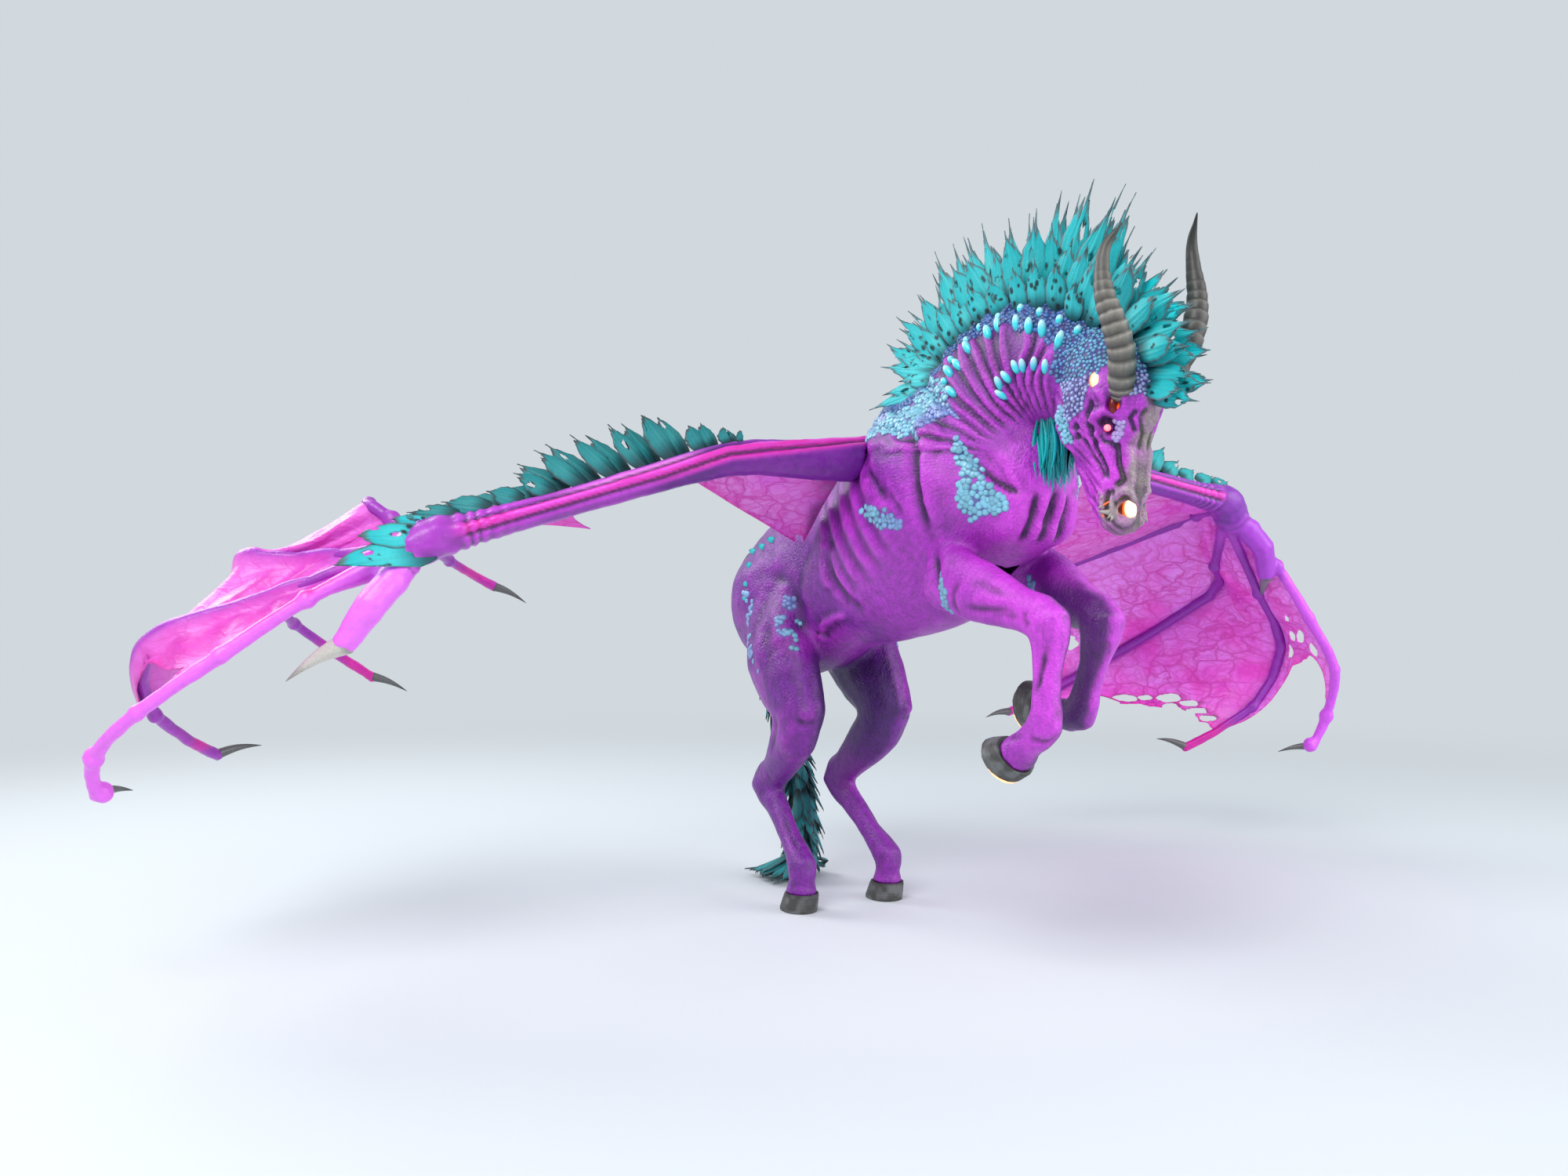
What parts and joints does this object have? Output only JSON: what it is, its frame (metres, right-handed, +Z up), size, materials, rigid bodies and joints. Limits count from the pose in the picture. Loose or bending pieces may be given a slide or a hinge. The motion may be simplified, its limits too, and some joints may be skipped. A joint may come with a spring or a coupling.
{
  "type": "winged horse figure",
  "caption": "Rearing winged horned horse carved in wood, with plug-in bat wings and horns, a leaf mane, and a tail plume that stands on the floor.",
  "frame": {"origin": "on the floor, midway between the centres of the two hind hooves", "axes": "+X the way the horse faces, +Y its left side, +Z up"},
  "size_m": [0.361, 0.6058, 0.2992],
  "materials": {
    "purple": "carved wood, satin paint with brushed streaks",
    "wing_pink": "carved wood, satin paint",
    "wing_skin": "thin stiffened hide, painted veins",
    "teal_leaf": "thin carved wood, painted, dark spots and pale rims",
    "dark_teal": "carved wood, satin paint",
    "horn_grey": "ridged, painted grey",
    "claw_grey": "carved to a point, painted grey",
    "hoof_grey": "painted dark grey",
    "ivory": "painted ivory",
    "bead": "opaque glossy studs",
    "glowing_orb": "opaque bead, glows warm white",
    "eye": "opaque bead, glows pink",
    "bare_wood": "unpainted turned rod",
    "iron": "bare cast slug"
  },
  "bodies": {
    "root": {"torso": "purple", "ballast": "iron", "neck": "purple", "neck_dowel": "bare_wood", "head": "purple", "head_dowel": "bare_wood", "lower_jaw": "purple", "teeth": "ivory", "eyes": "eye", "brow_orbs": "glowing_orb", "slit_orbs": "glowing_orb", "nostril_orbs": "glowing_orb", "crest_beads": "bead", "mane_leaves": "teal_leaf", "side_mane_leaves": "teal_leaf", "beard": "dark_teal", "hind_leg_right": "purple", "hind_leg_left": "purple", "fore_leg_right": "purple", "fore_leg_left": "purple", "leg_dowels": "bare_wood", "hind_hoof_right": "hoof_grey", "hind_hoof_left": "hoof_grey", "fore_hoof_right": "hoof_grey", "fore_hoof_left": "hoof_grey", "tail_core": "dark_teal", "tail_dowel": "bare_wood", "tail_plume": "dark_teal"},
    "right_wing": {"wing_arm_right": "wing_pink", "wing_tenon_right": "bare_wood", "thumb_right": "wing_pink", "finger_1_right": "wing_pink", "finger_2_right": "wing_pink", "finger_3_right": "wing_pink", "finger_4_right": "wing_pink", "claws_right": "claw_grey", "hand_skin_right": "wing_skin", "arm_skin_right": "wing_skin", "wing_leaves_right": "teal_leaf"},
    "left_wing": {"wing_arm_left": "wing_pink", "wing_tenon_left": "bare_wood", "thumb_left": "wing_pink", "finger_1_left": "wing_pink", "finger_2_left": "wing_pink", "finger_3_left": "wing_pink", "finger_4_left": "wing_pink", "claws_left": "claw_grey", "hand_skin_left": "wing_skin", "arm_skin_left": "wing_skin", "wing_leaves_left": "teal_leaf"},
    "right_horn": {"horn_right": "horn_grey", "horn_tenon_right": "bare_wood"},
    "left_horn": {"horn_left": "horn_grey", "horn_tenon_left": "bare_wood"}
  },
  "joints": [
    {"name": "right_wing_plug", "type": "slide", "parent": "root", "child": "right_wing", "axis": [0, -0.9511, 0.309], "range_m": [0, 0.03]},
    {"name": "left_wing_plug", "type": "slide", "parent": "root", "child": "left_wing", "axis": [0, 0.9511, 0.309], "range_m": [0, 0.03]},
    {"name": "right_horn_plug", "type": "slide", "parent": "root", "child": "right_horn", "axis": [0.3763, -0.3763, 0.8466], "range_m": [0, 0.02]},
    {"name": "left_horn_plug", "type": "slide", "parent": "root", "child": "left_horn", "axis": [0.3763, 0.3763, 0.8466], "range_m": [0, 0.02]}
  ]
}
